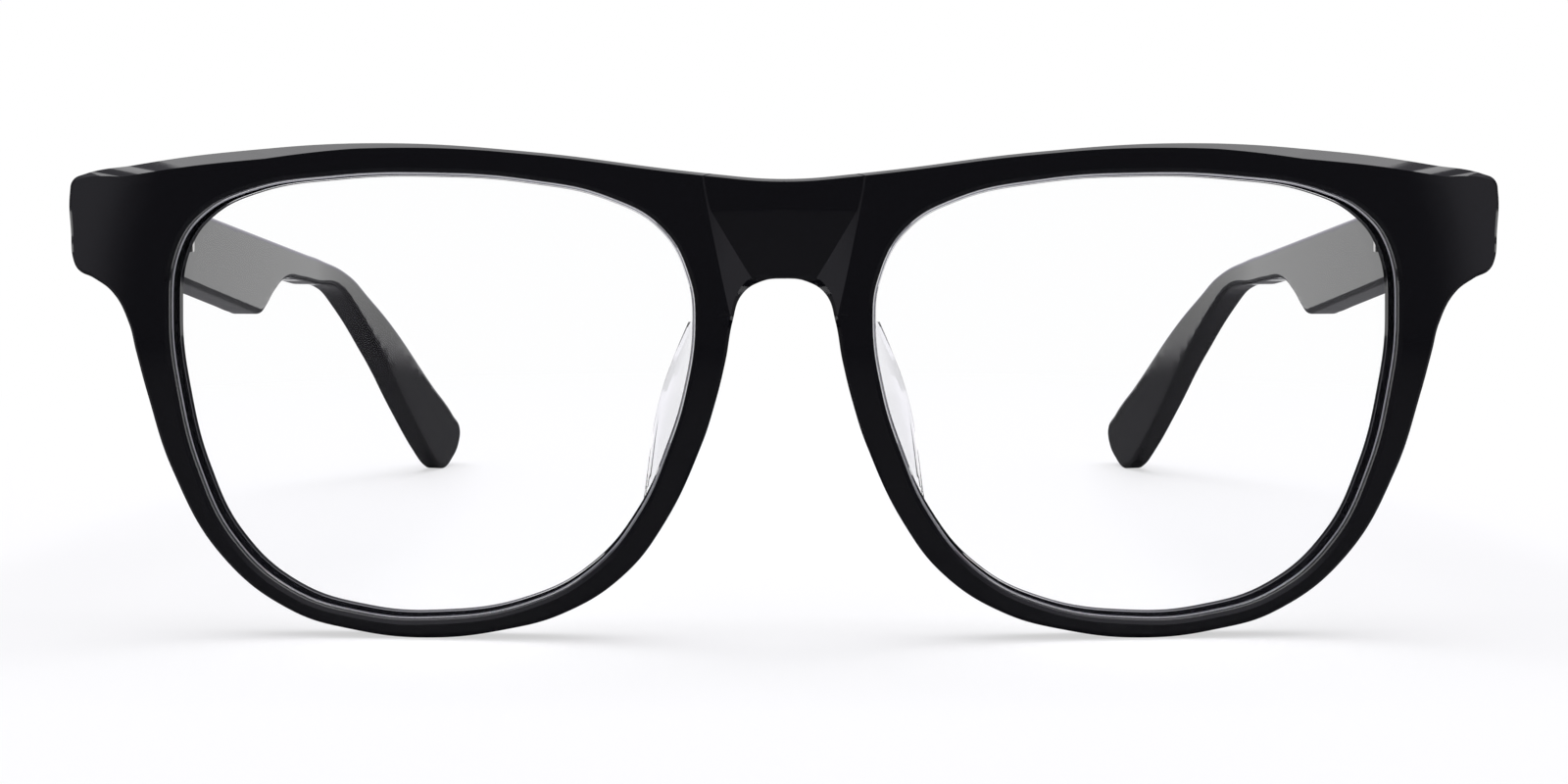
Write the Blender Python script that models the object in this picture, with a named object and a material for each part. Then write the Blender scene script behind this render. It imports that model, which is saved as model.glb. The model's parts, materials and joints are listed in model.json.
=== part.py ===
"""Eyeglasses: black acetate front and temples, clear lenses and nose pads, five-barrel hinges.

X runs across the face, +Y from the front to the temple tips, +Z up. The pair stands open on its lower
rims and temple tips, at z = 0, and is drawn with the foremost line of the front face at y = 0, then
moved so that the origin is under the middle of its box. The wearer looks along -Y, so the wearer's
right is at -X. Every size is in metres, from a millimetre times MM.
"""

import math

import bmesh
import bpy
from mathutils import Matrix, Vector

MM = 0.001

# Front, measured over its front face
LENS_WIDTH = 53.2 * MM  # the opening of one rim
LENS_HEIGHT = 44.9 * MM
BRIDGE_GAP = 17.5 * MM  # between the two openings
RIM_UNDER = 1.8 * MM
RIM_OVER = 2.9 * MM
RIM_SIDE = 4.3 * MM
END_REACH = 11.0 * MM  # from the opening to the outer edge of the end piece
END_HEIGHT = 12.0 * MM  # from the top of the rim down to the end piece's lower corner
BRIDGE_DIP = 3.6 * MM  # of the bar's middle under the top of the rim
BRIDGE_HEIGHT = 9.85 * MM  # of the bar over the nose
FRONT_THICKNESS = 4.2 * MM
FRONT_CHAMFER = 0.35 * MM

# Forming: a press bends the sheet to a ball over each eye and turns each eye outwards
BASE_RADIUS = 132.5 * MM
FACE_ANGLE = math.radians(4.0)
FLAT_BRIDGE = 8.0 * MM  # half of the bar, which takes no ball

# Lenses
LENS_THICKNESS = 2.2 * MM
LENS_DEPTH = 2.1 * MM  # from the front face to the middle of the lens
GROOVE_DEPTH = 0.7 * MM
LENS_PLAY = 0.1 * MM

# Nose pads
PAD_LENGTH = 18.5 * MM
PAD_REACH = 6.4 * MM  # behind the rim
PAD_FLARE = 2.0 * MM  # of the pad's rear edge past the opening
PAD_DROP = 11.0 * MM  # of the pad's lower end under the middle of the lens
PAD_ROOT = 2.4 * MM
PAD_TIP = 1.6 * MM
GLUE_GAP = 0.1 * MM

# End piece block, which the temple butts against
BLOCK_LENGTH = 1.636 * MM  # from the end piece's rear face to the butt
BLOCK_WIDTH = 9.4 * MM
BLOCK_HEIGHT = 8.2 * MM
BLOCK_INSET = 1.8 * MM  # from the outer edge of the end piece
BLOCK_DEPTH = 4.0 * MM
BLOCK_RISE = 0.3 * MM  # over the temple's top

# Temples, drawn on their inner face
TEMPLE_THICKNESS = 3.8 * MM
TIP_THICKNESS = 2.7 * MM
TEMPLE_INSET = 2.2 * MM  # of the outer face from the outer edge of the end piece
TEMPLE_TOP = 45.0 * MM  # at the butt
TEMPLE_HEIGHT = 7.8 * MM  # at the butt
TEMPLE_FALL = 0.1457  # of the top edge, for each unit of length
TEMPLE_GROWTH = 0.033  # of the height, for each unit of length
WIDE_LENGTH = 51.0 * MM  # from the butt to the step under the temple
STEP_LENGTH = 17.0 * MM
NECK_HEIGHT = 3.4 * MM
BEND_LENGTH = 86.5 * MM  # from the butt to the bend over the ear
ARM_REACH = 47.6 * MM  # from the bend to the tip
TEMPLE_LEAN = 0.08  # inwards, for each unit of length, before the bend
TIP_LEAN = 0.28
LEAN_START = 8.0 * MM  # before the bend, where the lean begins to grow
LEAN_RUN = 28.0 * MM  # over which it grows
SQUARE_BUTT = 15.0 * MM  # over which the thickness turns from the butt's square cut to the lean
TEMPLE_CHAMFER = 0.6 * MM
BUTT_PLAY = 0.1 * MM

# Five-barrel hinges
HINGE_Z = 41.2 * MM
BARREL_RADIUS = 1.4 * MM
HINGE_BACK = BARREL_RADIUS + 0.5 * MM  # from the butt to the axis
HINGE_IN = BARREL_RADIUS + 0.4 * MM  # from the temple's inner face to the axis
LEAF_SINK = 0.2 * MM  # of the temple's leaf out of the inner face
BARREL_HEIGHT = 1.12 * MM
BARREL_PLAY = 0.1 * MM
BARRELS = 5
LEAF_THICKNESS = 0.9 * MM
LEAF_PLAY = 0.1 * MM
LEAF_START = 0.4 * MM  # from the butt to the temple's leaf
FRONT_LEAF_WIDTH = 5.4 * MM
TEMPLE_LEAF_LENGTH = 9.5 * MM
PRONG_LENGTH = 2.2 * MM
PRONG_THICKNESS = 1.1 * MM
PRONG_HEIGHT = 0.7  # of the leaf's height
LEAF_OVERHANG = 1.1 * MM  # of the front's leaf past the axis
TEMPLE_PRONG_INSET = 2.4 * MM  # from the rear end of the temple's leaf
TEMPLE_PRONG_LENGTH = 2.0 * MM
SCREW_RADIUS = 0.65 * MM
SCREW_PLAY = 0.1 * MM
HEAD_RADIUS = 1.15 * MM
HEAD_HEIGHT = 0.6 * MM
SLOT_WIDTH = 0.35 * MM

# Core wires
CORE_WIDTH = 1.4 * MM
CORE_THICKNESS = 1.1 * MM
CORE_PLAY = 0.1 * MM
CORE_DEPTH = 2.1 * MM  # from the temple's inner face to the middle of the wire
BENDING_STEP = 9.0 * MM  # between the cuts that a temple bends at

EYE_X = BRIDGE_GAP / 2 + LENS_WIDTH / 2
EYE_Z = RIM_UNDER + LENS_HEIGHT / 2
FRONT_EDGE = BRIDGE_GAP / 2 + LENS_WIDTH + END_REACH
FRONT_TOP = RIM_UNDER + LENS_HEIGHT + RIM_OVER
BRIDGE_TOP = FRONT_TOP - BRIDGE_DIP
BLOCK_EDGE = FRONT_EDGE - BLOCK_INSET
END_RUN = (BLOCK_EDGE - EYE_X + math.tan(FACE_ANGLE) * BASE_RADIUS) ** 2 / (2.0 * BASE_RADIUS)
BUTT_Y = END_RUN + FRONT_THICKNESS + BLOCK_LENGTH
BUTT_X = FRONT_EDGE - TEMPLE_INSET - TEMPLE_THICKNESS  # the temple's inner face at the butt
BEND_Y = BUTT_Y + BEND_LENGTH
BEND_Z = TEMPLE_TOP - TEMPLE_FALL * BEND_LENGTH
HINGE_TILT = math.atan(TEMPLE_LEAN)
LEAF_HEIGHT = BARRELS * BARREL_HEIGHT + (BARRELS - 1) * BARREL_PLAY

# The lens shape, in halves of its width and height from its middle, from the top towards the nose
EYE_SHAPE = (
    (0.0, 1.0), (-0.37, 0.97), (-0.68, 0.89), (-0.88, 0.75), (-0.98, 0.53), (-1.0, 0.34),
    (-0.965, 0.02), (-0.90, -0.23), (-0.79, -0.52), (-0.61, -0.775), (-0.365, -0.93), (0.0, -1.0),
    (0.27, -0.98), (0.54, -0.88), (0.76, -0.65), (0.89, -0.34), (0.965, 0.0), (1.0, 0.35),
    (0.97, 0.66), (0.88, 0.81), (0.70, 0.92), (0.37, 0.985),
)


def clear_scene():
    for item in list(bpy.data.objects):
        bpy.data.objects.remove(item, do_unlink=True)


def new_collection(name, hidden=False):
    collection = bpy.data.collections.new(name)
    bpy.context.scene.collection.children.link(collection)
    collection.hide_render = hidden
    return collection


def material(name, colour, roughness, metallic=0.0, transmission=0.0):
    made = bpy.data.materials.new(name)
    made.use_nodes = True
    shader = made.node_tree.nodes["Principled BSDF"]
    shader.inputs["Base Color"].default_value = (*colour, 1.0)
    shader.inputs["Roughness"].default_value = roughness
    shader.inputs["Metallic"].default_value = metallic
    shader.inputs["Transmission Weight"].default_value = transmission
    made.diffuse_color = (*colour, 1.0 - 0.7 * transmission)
    return made


# ---- outlines ----


def smooth_outline(points, resolution):
    """Points along a closed curve through the given ones, each (a, b) or (a, b, "corner")."""
    curve = bpy.data.curves.new("outline", "CURVE")
    curve.dimensions = "2D"
    curve.fill_mode = "NONE"
    curve.resolution_u = resolution
    spline = curve.splines.new("BEZIER")
    spline.bezier_points.add(len(points) - 1)
    spline.use_cyclic_u = True
    for knot, point in zip(spline.bezier_points, points):
        kind = "VECTOR" if len(point) == 3 else "AUTO"
        knot.handle_left_type = kind
        knot.handle_right_type = kind
        # Blender drops curve points under a hundredth of a millimetre apart, so they are drawn 1000 times up.
        knot.co = (point[0] / MM, point[1] / MM, 0.0)
    guide = bpy.data.objects.new("outline", curve)
    bpy.context.scene.collection.objects.link(guide)
    bpy.context.view_layer.update()
    mesh = bpy.data.meshes.new_from_object(guide.evaluated_get(bpy.context.evaluated_depsgraph_get()))
    loop = [(vertex.co.x * MM, vertex.co.y * MM) for vertex in mesh.vertices]
    bpy.data.objects.remove(guide)
    bpy.data.meshes.remove(mesh)
    return loop


def grown(loop, distance):
    """The closed outline moved outwards by a distance."""
    area = sum(a[0] * b[1] - b[0] * a[1] for a, b in zip(loop, loop[1:] + loop[:1]))
    side = distance if area > 0 else -distance
    moved = []
    for before, here, after in zip(loop[-1:] + loop[:-1], loop, loop[1:] + loop[:1]):
        ahead = (Vector(here) - Vector(before)).normalized()
        behind = (Vector(after) - Vector(here)).normalized()
        along = (ahead + behind).normalized()
        reach = side / max(0.5, along.dot(behind))
        moved.append((here[0] + along.y * reach, here[1] - along.x * reach))
    return moved


def eye_point(across, up, right=0.0, above=0.0):
    """A point of the left eye: in halves of the lens from its middle, then moved by two lengths."""
    return (EYE_X + across * LENS_WIDTH / 2 + right, EYE_Z + up * LENS_HEIGHT / 2 + above)


def lens_outline():
    return smooth_outline([eye_point(*point) for point in EYE_SHAPE], 3)


def front_outline():
    """The outer edge of the whole front, from the middle of the bar over the left eye and back."""
    half_gap = BRIDGE_GAP / 2
    outer = EYE_X + LENS_WIDTH / 2
    corner_z = FRONT_TOP - END_HEIGHT
    arch_z = BRIDGE_TOP - BRIDGE_HEIGHT
    top = [
        (0.0, BRIDGE_TOP),
        (half_gap * 0.9, BRIDGE_TOP + 0.6 * MM),
        (EYE_X - 0.37 * LENS_WIDTH / 2, FRONT_TOP - 0.85 * MM),
        (EYE_X + 0.20 * LENS_WIDTH / 2, FRONT_TOP),
        (outer - 6.0 * MM, FRONT_TOP - 0.85 * MM),
        (outer + 4.3 * MM, FRONT_TOP - 2.25 * MM),
    ]
    end_piece = [
        (FRONT_EDGE - 1.6 * MM, FRONT_TOP - 3.25 * MM),
        (FRONT_EDGE - 0.3 * MM, FRONT_TOP - 3.9 * MM),
        (FRONT_EDGE, FRONT_TOP - 5.2 * MM),
        (FRONT_EDGE - 0.25 * MM, corner_z + 2.7 * MM),
        (FRONT_EDGE - 0.6 * MM, corner_z),
        (FRONT_EDGE - 1.2 * MM, corner_z - 1.0 * MM),
        (FRONT_EDGE - 2.9 * MM, corner_z - 1.8 * MM),
    ]
    rim = [
        eye_point(1.0, 0.45, RIM_SIDE + 1.7 * MM),
        eye_point(1.0, 0.32, RIM_SIDE),
        eye_point(0.99, 0.19, RIM_SIDE - 0.55 * MM),
        eye_point(0.965, 0.0, RIM_SIDE - 1.1 * MM),
        eye_point(0.89, -0.34, RIM_SIDE - 1.65 * MM),
        eye_point(0.76, -0.65, 1.05 * MM, -1.75 * MM),
        eye_point(0.54, -0.88, -0.2 * MM, -RIM_UNDER - 0.2 * MM),
        eye_point(0.28, -0.975, 0.5 * MM, -RIM_UNDER + 0.15 * MM),
        eye_point(0.02, -1.0, 0.0, -RIM_UNDER),
        eye_point(-0.28, -0.965, 0.0, -RIM_UNDER + 0.1 * MM),
        eye_point(-0.48, -0.87, -0.8 * MM, -RIM_UNDER - 0.25 * MM),
        eye_point(-0.68, -0.70, -1.3 * MM, -2.1 * MM),
        eye_point(-0.82, -0.46, -1.5 * MM, -2.5 * MM),
        eye_point(-0.925, -0.15, -2.6 * MM, -1.3 * MM),
    ]
    arch = [
        (half_gap * 0.80, arch_z - 13.1 * MM),
        (half_gap * 0.66, arch_z - 8.2 * MM),
        (half_gap * 0.58, arch_z - 4.3 * MM),
        (half_gap * 0.47, arch_z - 1.65 * MM),
        (half_gap * 0.25, arch_z - 0.3 * MM),
        (0.0, arch_z),
    ]
    half = top + end_piece + rim + arch
    mirrored = [(-x, z) for x, z in reversed(half[1:-1])]
    return smooth_outline(half + mirrored, 2)


def temple_outline():
    """The side view of a temple, as (y, z): round from the butt's top corner to its lower one."""

    def top(length):
        return (BUTT_Y + length, TEMPLE_TOP - TEMPLE_FALL * length)

    def bottom(length, above=0.0):
        y, z = top(length)
        return (y, z - TEMPLE_HEIGHT - TEMPLE_GROWTH * length + above)

    def arm(reach, drop):
        return (BEND_Y + reach * ARM_REACH, BEND_Z * (1.0 - drop))

    neck_y, neck_top = top(BEND_LENGTH - 13.5 * MM)
    points = [
        (*top(BUTT_PLAY), "corner"),
        top(BEND_LENGTH - 12.0 * MM),
        top(BEND_LENGTH - 4.0 * MM),
        arm(0.18, 0.07), arm(0.315, 0.165), arm(0.477, 0.30), arm(0.767, 0.596), arm(0.94, 0.765),
        arm(0.995, 0.84), arm(0.985, 0.905), arm(0.93, 0.97), arm(0.87, 1.0), arm(0.825, 0.98),
        arm(0.77, 0.925), arm(0.588, 0.688), arm(0.412, 0.438), arm(0.2, 0.198), arm(0.085, 0.115),
        (neck_y + 7.0 * MM, neck_top - TEMPLE_FALL * 7.0 * MM - NECK_HEIGHT),
        (neck_y - 1.5 * MM, neck_top - NECK_HEIGHT),
        bottom(WIDE_LENGTH + STEP_LENGTH * 0.72, 5.6 * MM),
        bottom(WIDE_LENGTH + STEP_LENGTH * 0.40, 3.4 * MM),
        bottom(WIDE_LENGTH + STEP_LENGTH * 0.17, 1.2 * MM),
        bottom(WIDE_LENGTH + 0.6 * MM, 0.15 * MM),
        bottom(WIDE_LENGTH - 2.0 * MM),
        bottom(WIDE_LENGTH - 8.0 * MM),
        (*bottom(BUTT_PLAY), "corner"),
    ]
    return smooth_outline(points, 3)


# ---- solids ----


def mesh_object(name, mesh, collection):
    made = bpy.data.objects.new(name, mesh)
    collection.objects.link(made)
    return made


def plate(name, loops, low, high, chamfer, collection):
    """A plate with these outlines, the first outer and the rest holes, as (a, thickness, b) points."""
    curve = bpy.data.curves.new(name, "CURVE")
    curve.dimensions = "2D"
    curve.fill_mode = "BOTH"
    curve.extrude = ((high - low) / 2 - chamfer) / MM
    curve.bevel_depth = chamfer / MM
    curve.bevel_resolution = 0
    for number, loop in enumerate(loops):
        drawn = grown(loop, -chamfer if number == 0 else chamfer)
        spline = curve.splines.new("POLY")
        spline.points.add(len(drawn) - 1)
        spline.use_cyclic_u = True
        for knot, point in zip(spline.points, drawn):
            knot.co = (point[0] / MM, point[1] / MM, 0.0, 1.0)
    guide = bpy.data.objects.new(name, curve)
    bpy.context.scene.collection.objects.link(guide)
    bpy.context.view_layer.update()
    mesh = bpy.data.meshes.new_from_object(guide.evaluated_get(bpy.context.evaluated_depsgraph_get()))
    bpy.data.objects.remove(guide)
    shape = bmesh.new()
    shape.from_mesh(mesh)
    bmesh.ops.remove_doubles(shape, verts=shape.verts, dist=1e-4)
    for vertex in shape.verts:
        across, up, through = vertex.co * MM
        vertex.co = (across, (low + high) / 2 - through, up)
    bmesh.ops.recalc_face_normals(shape, faces=shape.faces)
    shape.to_mesh(mesh)
    shape.free()
    return mesh_object(name, mesh, collection)


def box(name, low, high, collection):
    shape = bmesh.new()
    bmesh.ops.create_cube(shape, size=1.0)
    low, high = Vector(low), Vector(high)
    size = high - low
    place = Matrix.Translation((low + high) / 2) @ Matrix.Diagonal((*size, 1.0))
    bmesh.ops.transform(shape, matrix=place, verts=shape.verts)
    mesh = bpy.data.meshes.new(name)
    shape.to_mesh(mesh)
    shape.free()
    return mesh_object(name, mesh, collection)


def cylinder(name, radius, low, high, collection, sides=24):
    """A cylinder on the Z axis between two heights."""
    shape = bmesh.new()
    place = Matrix.Translation((0.0, 0.0, (low + high) / 2))
    bmesh.ops.create_cone(
        shape, cap_ends=True, segments=sides, radius1=radius, radius2=radius, depth=high - low, matrix=place
    )
    mesh = bpy.data.meshes.new(name)
    shape.to_mesh(mesh)
    shape.free()
    return mesh_object(name, mesh, collection)


def combine(target, others, operation):
    """Adds or cuts the other solids, one after the other, and leaves the result in the target's mesh."""
    for other in others:
        modifier = target.modifiers.new(other.name, "BOOLEAN")
        modifier.operation = operation
        modifier.object = other
    bpy.context.view_layer.update()
    solved = bpy.data.meshes.new_from_object(target.evaluated_get(bpy.context.evaluated_depsgraph_get()))
    target.modifiers.clear()
    spent = target.data
    target.data = solved
    bpy.data.meshes.remove(spent)
    for other in others:
        bpy.data.objects.remove(other)


def reshape(target, rule, stations=()):
    """Splits a mesh at each station, a (point, normal) plane, then moves every point by a rule."""
    shape = bmesh.new()
    shape.from_mesh(target.data)
    for point, normal in stations:
        everything = shape.verts[:] + shape.edges[:] + shape.faces[:]
        bmesh.ops.bisect_plane(shape, geom=everything, dist=1e-6, plane_co=point, plane_no=normal)
    bmesh.ops.triangulate(shape, faces=shape.faces)
    for vertex in shape.verts:
        vertex.co = rule(vertex.co)
    bmesh.ops.recalc_face_normals(shape, faces=shape.faces)
    shape.to_mesh(target.data)
    shape.free()


def place(target, matrix):
    target.data.transform(matrix)
    target.data.update()


# ---- forming ----


def front_slope(x):
    """How fast the front face runs back, across the left half."""
    if x >= FLAT_BRIDGE:
        return math.tan(FACE_ANGLE) + (x - EYE_X) / BASE_RADIUS
    return front_slope(FLAT_BRIDGE) * x / FLAT_BRIDGE


def front_run(x):
    """Distance of the front face behind its foremost line, across the left half."""
    tilt = math.tan(FACE_ANGLE)
    if x >= FLAT_BRIDGE:
        return (x - EYE_X + tilt * BASE_RADIUS) ** 2 / (2.0 * BASE_RADIUS)
    slope = front_slope(FLAT_BRIDGE)
    return front_run(FLAT_BRIDGE) + slope * (x * x - FLAT_BRIDGE**2) / (2.0 * FLAT_BRIDGE)


def formed_front(point):
    """Where the press puts a point of the flat sheet, whose y is its depth under the front face."""
    side = math.copysign(1.0, point.x)
    x = abs(point.x)
    rise = (point.z - EYE_Z) / BASE_RADIUS
    surface = Vector((x, front_run(x) + rise * rise * BASE_RADIUS / 2.0, point.z))
    into = Vector((-front_slope(x), 1.0, -rise)).normalized()
    moved = surface + into * point.y
    return Vector((moved.x * side, moved.y, moved.z))


def temple_lean(y):
    """How fast the inner face closes in, for each unit of length."""
    share = min(1.0, max(0.0, (y - BEND_Y + LEAN_START) / LEAN_RUN))
    return TEMPLE_LEAN + (TIP_LEAN - TEMPLE_LEAN) * share


def temple_face(y):
    """X of the left temple's inner face."""
    start = BEND_Y - LEAN_START
    share = min(1.0, max(0.0, (y - start) / LEAN_RUN))
    length = LEAN_RUN * share * share / 2.0 + max(0.0, y - start - LEAN_RUN)
    return BUTT_X - TEMPLE_LEAN * (y - BUTT_Y) - (TIP_LEAN - TEMPLE_LEAN) * length


def formed_temple(point):
    """Where bending puts a point of the flat temple, whose x is its distance from the inner face."""
    lean = temple_lean(point.y)
    past_bend = min(1.0, max(0.0, (point.y - BEND_Y) / (ARM_REACH * 0.9)))
    thinning = 1.0 - past_bend * (1.0 - TIP_THICKNESS / TEMPLE_THICKNESS)
    square = min(1.0, max(0.0, (point.y - BUTT_Y - BUTT_PLAY) / SQUARE_BUTT))
    out = Vector((1.0, lean * square, 0.0)).normalized()
    return Vector((temple_face(point.y), point.y, point.z)) + out * point.x * thinning


# ---- pieces ----


def front_frame(parts, cutters):
    opening = lens_outline()
    other = [(-x, z) for x, z in opening]
    frame = plate(
        "front_frame", [front_outline(), opening, other], 0.0, FRONT_THICKNESS, FRONT_CHAMFER, parts
    )
    grooves = [lens_blank("groove", loop, LENS_PLAY, GROOVE_DEPTH, cutters) for loop in (opening, other)]
    combine(frame, grooves, "DIFFERENCE")
    reshape(frame, formed_front)
    blocks = []
    pockets = []
    for side in (-1, 1):
        ends = sorted((side * (BLOCK_EDGE - BLOCK_WIDTH), side * BLOCK_EDGE))
        top = TEMPLE_TOP + BLOCK_RISE
        low = (ends[0], BUTT_Y - BLOCK_DEPTH, top - BLOCK_HEIGHT)
        blocks.append(box("block", low, (ends[1], BUTT_Y, top), cutters))
        pockets += front_leaf_shapes("pocket", LEAF_PLAY, side, cutters)
    combine(frame, blocks, "UNION")
    combine(frame, pockets, "DIFFERENCE")
    return frame


def lens_blank(name, loop, play, bevel, collection):
    """A plate whose V-shaped edge reaches past the rim's opening into its groove."""
    half = LENS_THICKNESS / 2 + play
    edge = bevel + play
    blank = [grown(loop, edge - LENS_PLAY)]
    return plate(name, blank, LENS_DEPTH - half, LENS_DEPTH + half, edge, collection)


def lens(side, parts):
    loop = lens_outline()
    made = lens_blank("lens", loop, 0.0, GROOVE_DEPTH - LENS_PLAY, parts)
    made.name = "lens_left" if side > 0 else "lens_right"
    cuts = []
    for k in range(-2, 3):
        cuts.append((Vector((EYE_X + k * LENS_WIDTH / 6, 0.0, 0.0)), Vector((1.0, 0.0, 0.0))))
        cuts.append((Vector((0.0, 0.0, EYE_Z + k * LENS_HEIGHT / 6)), Vector((0.0, 0.0, 1.0))))
    reshape(made, formed_front, cuts)
    return made


def nose_pad(side, parts):
    """A fin glued behind the rim: a loft from its lower end up, flared outwards towards the rear."""
    shape = bmesh.new()
    rings = []
    steps = 9
    for step in range(steps):
        share = step / (steps - 1)
        swell = math.sin(math.pi * (0.03 + 0.85 * share))
        z = EYE_Z - PAD_DROP + PAD_LENGTH * share
        rim_middle = BRIDGE_GAP / 2 - 1.75 * MM + 1.4 * MM * (1 - share) + 4.0 * MM * (1 - share) ** 2
        rear = rim_middle + PAD_ROOT / 2 + PAD_FLARE * swell
        back = FRONT_THICKNESS + GLUE_GAP + PAD_REACH * swell
        section = [
            (rim_middle - PAD_ROOT / 2, FRONT_THICKNESS + GLUE_GAP),
            (rim_middle + PAD_ROOT / 2, FRONT_THICKNESS + GLUE_GAP),
            (rear, back - PAD_TIP * 0.4),
            (rear - PAD_TIP * 0.35, back),
            (rear - PAD_TIP, back - PAD_TIP * 0.2),
        ]
        rings.append([shape.verts.new((x, y, z)) for x, y in section])
    for low, high in zip(rings, rings[1:]):
        for k in range(len(low)):
            n = (k + 1) % len(low)
            shape.faces.new((low[k], low[n], high[n], high[k]))
    shape.faces.new(rings[0])
    shape.faces.new(rings[-1])
    mesh = bpy.data.meshes.new("pad")
    shape.to_mesh(mesh)
    shape.free()
    made = mesh_object("nose_pad_left" if side > 0 else "nose_pad_right", mesh, parts)
    reshape(made, formed_front)
    return made


def hinge_frame(side, folding):
    """The hinge's own place: origin on the axis at mid height, and for the temple's leaf its lean."""
    tilt = HINGE_TILT if folding else 0.0
    return Matrix.Translation((side * hinge_x(), BUTT_Y + HINGE_BACK, HINGE_Z)) @ Matrix.Rotation(
        side * tilt, 4, "Z"
    )


def hinge_x():
    face = temple_face(BUTT_Y + HINGE_BACK)
    return face - HINGE_IN / math.cos(HINGE_TILT)


def mirrored_box(name, side, x_ends, y_ends, z_ends, collection):
    """A box drawn for the left hinge, with its X ends turned over for the right one."""
    xs = sorted(side * x for x in x_ends)
    return box(name, (xs[0], y_ends[0], z_ends[0]), (xs[1], y_ends[1], z_ends[1]), collection)


def front_leaf_shapes(name, play, side, collection):
    """The front leaf's plate and prong, grown by a play when they are the pocket's cutters."""
    half = LEAF_HEIGHT / 2 + play
    outer = LEAF_OVERHANG
    rear = -HINGE_BACK
    plate_x = (outer - FRONT_LEAF_WIDTH - play, outer + play)
    plate_y = (rear - LEAF_THICKNESS - play, rear + play)
    middle = outer - FRONT_LEAF_WIDTH / 2
    prong_x = (middle - PRONG_THICKNESS / 2 - play, middle + PRONG_THICKNESS / 2 + play)
    prong_y = (rear - LEAF_THICKNESS - PRONG_LENGTH - play, rear - LEAF_THICKNESS / 2)
    prong_z = (-half * PRONG_HEIGHT, half * PRONG_HEIGHT)
    shapes = [
        mirrored_box(name, side, plate_x, plate_y, (-half, half), collection),
        mirrored_box(name, side, prong_x, prong_y, prong_z, collection),
    ]
    for shape in shapes:
        place(shape, hinge_frame(side, False))
    return shapes


def temple_leaf_shapes(name, play, side, collection):
    """The same for the temple's leaf, which lies in the inner face."""
    half = LEAF_HEIGHT / 2 + play
    face = HINGE_IN - LEAF_SINK
    plate_x = (face - play, face + LEAF_THICKNESS + play)
    plate_y = (LEAF_START - HINGE_BACK - play, TEMPLE_LEAF_LENGTH - HINGE_BACK + play)
    prong_end = TEMPLE_LEAF_LENGTH - TEMPLE_PRONG_INSET
    prong_x = (HINGE_IN, face + LEAF_THICKNESS + PRONG_THICKNESS + play)
    prong_y = (prong_end - TEMPLE_PRONG_LENGTH - play, prong_end + play)
    prong_z = (-half * PRONG_HEIGHT, half * PRONG_HEIGHT)
    shapes = [
        mirrored_box(name, side, plate_x, plate_y, (-half, half), collection),
        mirrored_box(name, side, prong_x, prong_y, prong_z, collection),
    ]
    for shape in shapes:
        place(shape, hinge_frame(side, True))
    return shapes


def barrel_ends(number):
    low = -LEAF_HEIGHT / 2 + number * (BARREL_HEIGHT + BARREL_PLAY)
    return low, low + BARREL_HEIGHT


def hinge_leaf(side, folding, parts, cutters):
    """One leaf: its plate, its barrels on the axis, each with a web to the plate, and the screw's hole."""
    shapes = (temple_leaf_shapes if folding else front_leaf_shapes)("leaf", 0.0, side, cutters)
    frame = hinge_frame(side, folding)
    for number in range(1 if folding else 0, BARRELS, 2):
        low, high = barrel_ends(number)
        barrel = cylinder("barrel", BARREL_RADIUS, low, high, cutters)
        if folding:
            across = (0.0, HINGE_IN + LEAF_SINK)
            along = (LEAF_START + LEAF_SINK - HINGE_BACK, 0.5 * MM)
        else:
            across = (-BARREL_RADIUS, 0.4 * MM)
            along = (-HINGE_BACK - LEAF_THICKNESS / 2, 0.0)
        web = mirrored_box("web", side, across, along, (low, high), cutters)
        place(barrel, frame)
        place(web, frame)
        shapes += [barrel, web]
    name = ("temple_hinge_leaf_" if folding else "front_hinge_leaf_") + ("left" if side > 0 else "right")
    leaf = mesh_object(name, shapes[0].data.copy(), parts)
    bpy.data.objects.remove(shapes[0])
    combine(leaf, shapes[1:], "UNION")
    hole = cylinder("hole", SCREW_RADIUS + SCREW_PLAY, -LEAF_HEIGHT, LEAF_HEIGHT, cutters)
    place(hole, hinge_frame(side, False))
    combine(leaf, [hole], "DIFFERENCE")
    return leaf


def hinge_screw(side, parts, cutters):
    """The screw from its tip up: a plain shank and a slotted head on top of the barrels."""
    name = "hinge_screw_left" if side > 0 else "hinge_screw_right"
    top = LEAF_HEIGHT / 2 + SCREW_PLAY
    screw = cylinder(name, SCREW_RADIUS, -LEAF_HEIGHT / 2, top + HEAD_HEIGHT / 6, parts)
    head = cylinder("head", HEAD_RADIUS, top, top + HEAD_HEIGHT, cutters)
    combine(screw, [head], "UNION")
    slot = box(
        "slot", (-HEAD_RADIUS * 1.2, -SLOT_WIDTH / 2, top + HEAD_HEIGHT * 0.45),
        (HEAD_RADIUS * 1.2, SLOT_WIDTH / 2, top + HEAD_HEIGHT * 1.5), cutters,
    )
    combine(screw, [slot], "DIFFERENCE")
    place(screw, hinge_frame(side, False))
    return screw


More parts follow.
